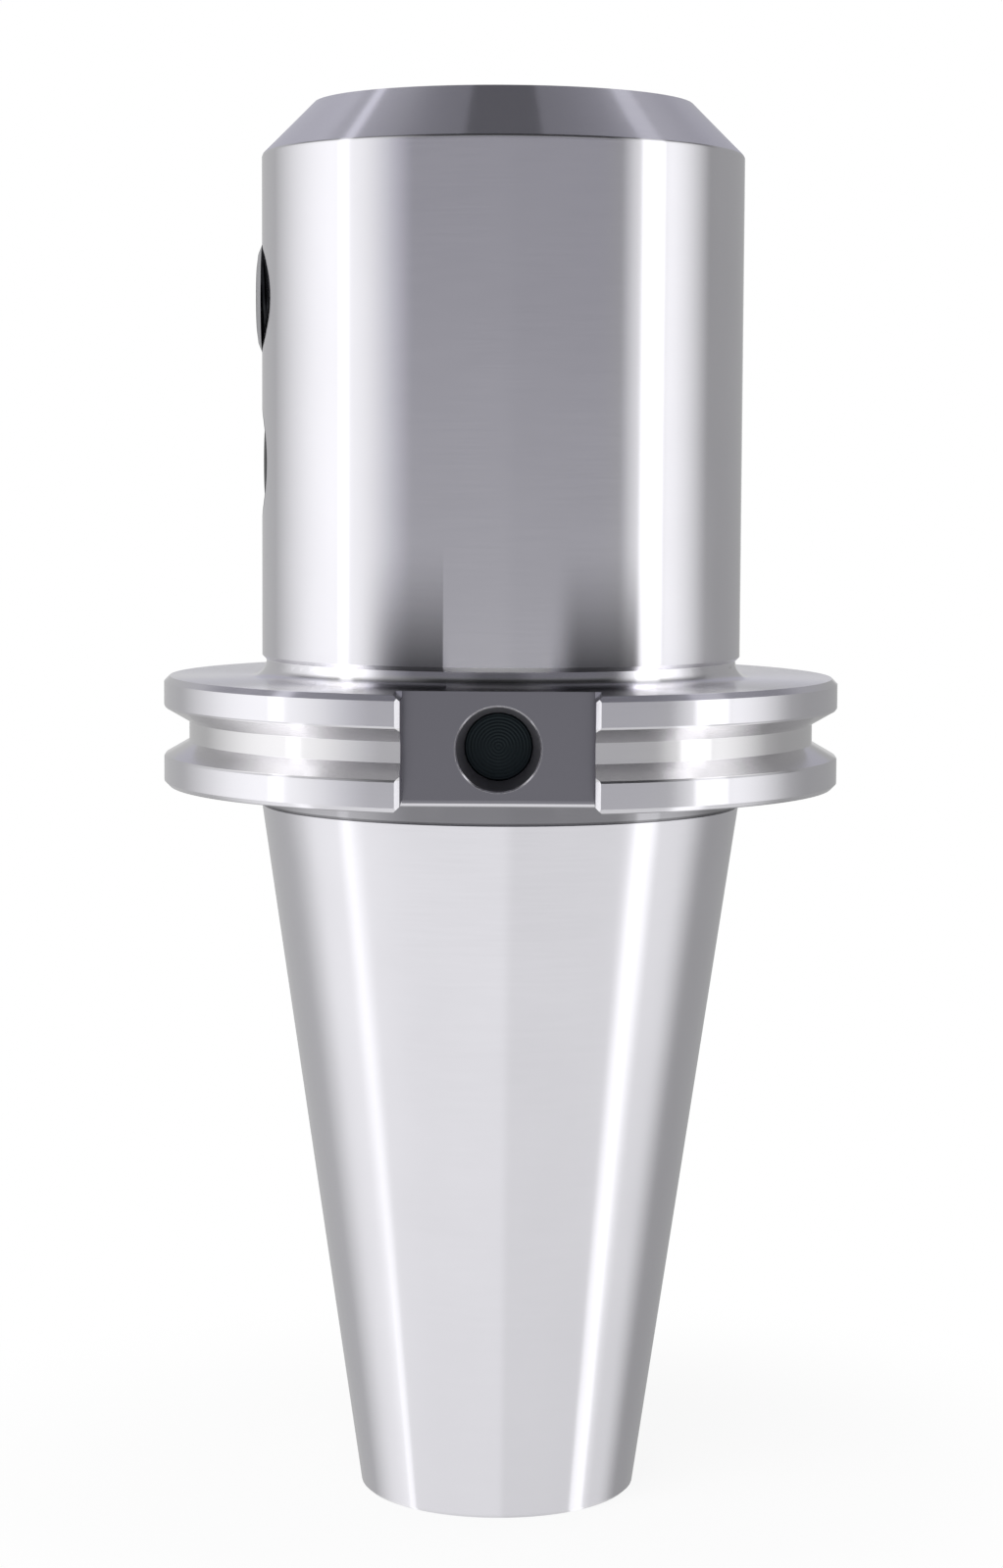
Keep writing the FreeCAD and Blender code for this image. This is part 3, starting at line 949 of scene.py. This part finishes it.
@dataclass
class Studio:
    """Soft studio round the holder: white below and behind, grey in front and above, two strip lights.

    The steel mirrors the room, so each part of the room is placed by the surface that would mirror it to the
    photographer: turns are that surface's angle round the upright axis and tilts its angle upwards, both in
    degrees, and 0 faces the photographer. A pair of them is where a change starts and ends.
    """

    strips: tuple[StripSoftbox, ...]
    floor_height: float = -101.6
    floor_radius: float = 130.0
    floor_segments: int = 96
    floor_shadow: float = 0.14
    shadow_radii: Span = (0.045, 0.120)
    cool_hex: str = "#f3f2ff"
    cool_turns: Span = (22.0, 34.0)
    cool_tilts: Span = (-2.4, -1.0)
    cool_end: Span = (14.0, 20.0)
    cool_cone: Span = (36.0, 40.0)
    squeeze: float = 1.1
    squeeze_tilts: Span = (-8.5, -18.5)
    floor_levels: Span = (1.12, 1.0)
    floor_turns: Span = (0.5, 4.0)
    floor_foot: float = 0.8
    floor_foot_tilts: Span = (-17.5, -15.5)
    front_greys: Span = (0.375, 0.34)
    front_tilts: Span = (-1.5, 1.0)
    grey_tilts: Span = (-8.0, -2.0)
    front_gap: float = 0.42
    front_gap_tilts: Span = (13.0, 17.0)
    ceiling_gap: float = 0.03
    ceiling_gap_tilts: Span = (19.0, 24.0)
    ceiling_tilts: Span = (38.0, 41.0)
    ceiling_grey: float = 0.135
    ceiling_turns: Span = (8.8, 9.8)
    ceiling_sides: Span = (0.25, 0.47)
    ceiling_side_turns: Span = (8.0, 50.0)
    left_edge: float = 0.6
    left_edge_turns: Span = (-50.0, -44.0)
    upper_rear: float = 0.3
    upper_tilts: Span = (52.0, 60.0)
    middle: Span = (-1.0, 1.0)
    rears: Span = (0.52, 0.40)
    rear_turns: Span = (50.0, 64.0)
    cones: Span = (0.57, 0.51)
    cone_tilts: Span = (34.0, 42.0)
    cone_end: Span = (52.0, 58.0)
    core_foot: float = 0.88
    core_foot_tilts: Span = (-15.5, -12.0)
    glow_foot: float = 0.75
    glow_foot_tilts: Span = (-17.5, -13.0)
    low_glow_tilts: Span = (-9.0, -5.0)
    glow_break: Span = (20.0, 40.0)
    glow_return: Span = (50.0, 57.0)
    backdrop: float = 0.62
    backdrop_edge: Span = (13.0, 9.0)
    fill_light: float = 0.62
    key_power: float = 6.3
    key_size: float = 0.8
    key_place: tuple[float, float, float] = (-0.35, -0.75, 0.95)

    def build(self) -> None:
        """Builds the world, the floor and the key light."""
        self.world()
        self.floor()
        self.key_light()
        LOG.info("built the studio")

    def plain_light(self, tree: NodeTree) -> NodeSocket:
        """White to the camera and through glass, and dimmer where it lights a surface.

        Args:
            tree: The node tree of the world or of a material.

        Returns:
            The level.
        """
        ray = add_node(tree, "LightPath").node
        seen = add_node(tree, "Math", {0: ray.outputs["Is Camera Ray"],
                                       1: ray.outputs["Is Transmission Ray"]}, operation="MAXIMUM")
        return add_node(tree, "MapRange", {"Value": seen, "To Min": self.fill_light, "To Max": 1.0})

    def world(self) -> None:
        """Surroundings: what the steel mirrors, plain white for the camera and a dimmer fill for light."""
        world = bpy.data.worlds.new("soft_studio")
        bpy.context.scene.world = world
        world.use_nodes = True
        world.cycles.sampling_method = "NONE"
        tree = world.node_tree
        tree.nodes.clear()
        glossy = add_node(tree, "LightPath").node.outputs["Is Glossy Ray"]
        mirrored, cool = self.mirrored_room(tree)
        level = add_node(tree, "Mix", {"Factor": glossy, "A": self.plain_light(tree), "B": mirrored})
        share = add_node(tree, "Math", {0: glossy, 1: cool}, operation="MULTIPLY")
        tint = add_node(tree, "Mix", {"Factor": share, "A": linear("#ffffff"), "B": linear(self.cool_hex)},
                        data_type="RGBA")
        light = add_node(tree, "Background", {"Color": tint, "Strength": level})
        add_node(tree, "OutputWorld", {"Surface": light})

    def mirrored_room(self, tree: NodeTree) -> tuple[NodeSocket, NodeSocket]:
        """The room that the steel mirrors, laid out by the tilt of the surface that would mirror it.

        Args:
            tree: The world's node tree.

        Returns:
            Its brightness, and how far it has the cool tone of the front.
        """
        ray = add_node(tree, "TexCoord").node.outputs["Generated"]
        half = add_node(tree, "VectorMath", {0: ray, 1: (0, -1, 0)}, operation="ADD")
        facing = add_node(tree, "VectorMath", {0: half}, operation="NORMALIZE")
        parts = add_node(tree, "SeparateXYZ", {0: facing}).node.outputs
        forwards = add_node(tree, "Math", {0: parts["Y"], 1: -1.0}, operation="MULTIPLY")
        turn = add_node(tree, "Math", {0: parts["X"], 1: forwards}, operation="ARCTAN2")
        turn = add_node(tree, "Math", {0: turn}, operation="DEGREES")
        rise = add_node(tree, "Math", {0: parts["Z"]}, operation="ARCSINE")
        rise = add_node(tree, "Math", {0: rise}, operation="DEGREES")
        squeeze = add_node(tree, "MapRange", {"Value": rise, "From Min": self.squeeze_tilts[0],
                                              "From Max": self.squeeze_tilts[1], "To Min": 1.0,
                                              "To Max": self.squeeze})
        turn = add_node(tree, "Math", {0: turn, 1: squeeze}, operation="MULTIPLY")
        aside = add_node(tree, "Math", {0: turn}, operation="ABSOLUTE")
        rear, cone = (ramp(tree, turn, *self.middle, *levels) for levels in (self.rears, self.cones))
        side = layers(tree, rise, rear, ((*self.cone_tilts, cone), (*self.cone_end, rear)))
        room = ramp(tree, aside, *self.rear_turns, self.front(tree, turn, aside, rise), side)
        for strip in self.strips:
            lit = self.strip_light(tree, strip, turn, rise)
            room = add_node(tree, "Math", {0: room, 1: lit}, operation="MAXIMUM")
        behind = add_node(tree, "SeparateXYZ", {0: ray}).node.outputs["Y"]
        edge = (math.cos(math.radians(angle)) for angle in self.backdrop_edge)
        room = ramp(tree, behind, *edge, room, self.backdrop)
        cool = ramp(tree, aside, *self.cool_turns, 1.0, 0.0)
        return room, layers(tree, rise, 0.0, ((*self.cool_tilts, cool), (*self.cool_end, 0.0),
                                              (*self.cool_cone, 1.0), (*self.cone_end, 0.0)))

    def front(self, tree: NodeTree, turn: NodeSocket, aside: NodeSocket, rise: NodeSocket) -> NodeSocket:
        """The photographer's side of the room: a white floor, a grey front and a dark ceiling.

        Args:
            tree: The world's node tree.
            turn: The surface's turn, in degrees.
            aside: The turn without its sign.
            rise: The surface's tilt, in degrees.

        Returns:
            The brightness.
        """
        ground = ramp(tree, turn, *self.floor_turns, *self.floor_levels)
        foot = ramp(tree, rise, *self.floor_foot_tilts, self.floor_foot, 1.0)
        ground = add_node(tree, "Math", {0: ground, 1: foot}, operation="MULTIPLY")
        grey = ramp(tree, rise, *self.front_tilts, *self.front_greys)
        ceiling = ramp(tree, aside, *self.ceiling_side_turns, *self.ceiling_sides)
        ceiling = ramp(tree, aside, *self.ceiling_turns, self.ceiling_grey, ceiling)
        ceiling = ramp(tree, turn, *self.left_edge_turns, self.left_edge, ceiling)
        return layers(tree, rise, ground,
                      ((*self.grey_tilts, grey), (*self.front_gap_tilts, self.front_gap),
                       (*self.ceiling_gap_tilts, self.ceiling_gap), (*self.ceiling_tilts, ceiling),
                       (*self.upper_tilts, self.upper_rear)))

    def strip_light(self, tree: NodeTree, strip: StripSoftbox, turn: NodeSocket,
                    rise: NodeSocket) -> NodeSocket:
        """One strip light: its lit core, and the glow of its diffuser on both sides.

        Args:
            tree: The world's node tree.
            strip: The strip light.
            turn: The surface's turn, in degrees.
            rise: The surface's tilt, in degrees.

        Returns:
            The brightness.
        """
        signed = add_node(tree, "Math", {0: turn, 1: float(strip.side)}, operation="MULTIPLY")
        start, end = strip.core_marks
        dim = ramp(tree, rise, *self.glow_foot_tilts, self.glow_foot, 1.0)
        low = ramp(tree, rise, *self.low_glow_tilts, strip.low_glow, 1.0)
        deep = ramp(tree, rise, *self.core_foot_tilts, self.core_foot, 1.0)
        high = layers(tree, rise, 1.0, ((*self.glow_break, 0.0), (*self.glow_return, 1.0)))
        faint = add_node(tree, "MapRange", {"Value": high, "To Min": strip.top, "To Max": 1.0})
        inner = ramp(tree, signed, strip.glow_start, start, 0.0, strip.inner_glow)
        inner = add_node(tree, "Math", {0: inner, 1: dim}, operation="MULTIPLY")
        outer = ramp(tree, signed, end, strip.glow_end, strip.outer_glow, 0.0)
        outer = add_node(tree, "Math", {0: outer, 1: low}, operation="MULTIPLY")
        glow = ramp(tree, signed, end, end + strip.edge, inner, outer)
        glow = add_node(tree, "Math", {0: glow, 1: high}, operation="MULTIPLY")
        core = band(tree, signed, strip.core_marks, strip.edge, strip.core)
        for share in (faint, deep):
            core = add_node(tree, "Math", {0: core, 1: share}, operation="MULTIPLY")
        return add_node(tree, "Math", {0: glow, 1: core}, operation="MAXIMUM")

    def floor(self) -> None:
        """A round white card under the holder, at its rim as white as what is round it."""
        shape = bmesh.new()
        bmesh.ops.create_circle(shape, cap_ends=True, cap_tris=False, segments=self.floor_segments,
                                radius=self.floor_radius)
        bmesh.ops.translate(shape, vec=(0, 0, self.floor_height), verts=shape.verts)
        card = object_from(shape, "floor_card")
        if card.data.polygons[0].normal.z < 0:
            card.data.flip_normals()
        # White card, matt: it takes the holder's soft shadow near the foot and shines evenly elsewhere.
        material = new_material("white_card")
        tree = material.node_tree
        place = add_node(tree, "TexCoord").node.outputs["Object"]
        flat = add_node(tree, "VectorMath", {0: place, 1: (1, 1, 0)}, operation="MULTIPLY")
        radius = add_node(tree, "VectorMath", {0: flat}, operation="LENGTH")
        share = ramp(tree, radius, *self.shadow_radii, self.floor_shadow, 0.0)
        rest = add_node(tree, "Math", {0: 1.0, 1: share}, operation="SUBTRACT", use_clamp=True)
        glow = add_node(tree, "Math", {0: self.plain_light(tree), 1: rest}, operation="MULTIPLY")
        paper = add_node(tree, "BsdfDiffuse", {"Color": share})
        white = add_node(tree, "Emission", {"Strength": glow})
        finish_material(material, add_node(tree, "AddShader", {0: paper, 1: white}))
        material.cycles.emission_sampling = "NONE"
        card.visible_glossy = False
        dress(card, material)

    def key_light(self) -> None:
        """One large soft lamp above the photographer's left shoulder, which gives the soft shadow."""
        lamp = bpy.data.lights.new("key_softbox", "AREA")
        lamp.shape = "SQUARE"
        lamp.size = self.key_size
        lamp.energy = self.key_power
        key = bpy.data.objects.new("key_softbox", lamp)
        bpy.context.scene.collection.objects.link(key)
        key.location = self.key_place
        key.rotation_euler = (-Vector(self.key_place)).to_track_quat("-Z", "Y").to_euler()
        key.visible_glossy = False
        key.visible_camera = False


@dataclass
class PhotoCamera:
    """The camera of the photograph, as fitted to the holder's edges in it."""

    distance: float = 0.51269
    height: float = 0.04938
    aside: float = 0.00017
    azimuth: float = 0.45
    pitch: float = 5.169
    roll: float = 0.2955
    lens: float = 80.27
    sensor: float = 36.0
    clip: Span = (0.01, 50.0)

    def build(self) -> Object:
        """Makes the camera and makes it the scene's.

        Returns:
            The camera's object.
        """
        data = bpy.data.cameras.new("photo_camera")
        data.lens = self.lens
        data.sensor_width = self.sensor
        data.clip_start, data.clip_end = self.clip
        camera = bpy.data.objects.new("photo_camera", data)
        bpy.context.scene.collection.objects.link(camera)
        camera.matrix_world = (Matrix.Rotation(math.radians(self.azimuth), 4, "Z")
                               @ Matrix.Translation((self.aside, -self.distance, self.height))
                               @ Matrix.Rotation(math.radians(90.0 - self.pitch), 4, "X")
                               @ Matrix.Rotation(math.radians(self.roll), 4, "Z"))
        bpy.context.scene.camera = camera
        LOG.info("placed the camera")
        return camera


def main() -> None:
    """Builds the camera, the studio and each piece in order."""
    logging.basicConfig(level=logging.INFO, format="%(name)s: %(message)s")
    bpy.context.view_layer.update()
    bpy.context.scene.view_settings.view_transform = "Standard"
    PhotoCamera().build()
    left = StripSoftbox(side=-1, glow_start=12.0, core_marks=(38.0, 42.0), glow_end=88.0, inner_glow=1.2,
                        outer_glow=1.35, low_glow=0.78, core=1.6, top=0.5)
    right = StripSoftbox(side=1, glow_start=25.0, core_marks=(34.0, 41.5), glow_end=66.0, inner_glow=0.9,
                         outer_glow=1.3, low_glow=0.66, core=1.6, top=0.35)
    Studio(strips=(left, right)).build()
    upper, lower = ClampScrewAxis(height=73.6), ClampScrewAxis(height=50.0)
    HolderBody(GroundSteel(), [upper, lower]).build()
    FlangeHolePlug(TurnedBlackNylon()).build()
    ClampScrew("upper_set_screw", "upper_clamp_screw", Body.UPPER_SCREW, upper, proud=0.7).build()
    ClampScrew("lower_set_screw", "lower_clamp_screw", Body.LOWER_SCREW, lower, proud=-0.42).build()
    KnobThread(FilmedSteel("tapped_alloy_steel", base_hex="#8a8a90", worn_hex="#b5b5ba")).build()


if __name__ == "__main__":
    main()
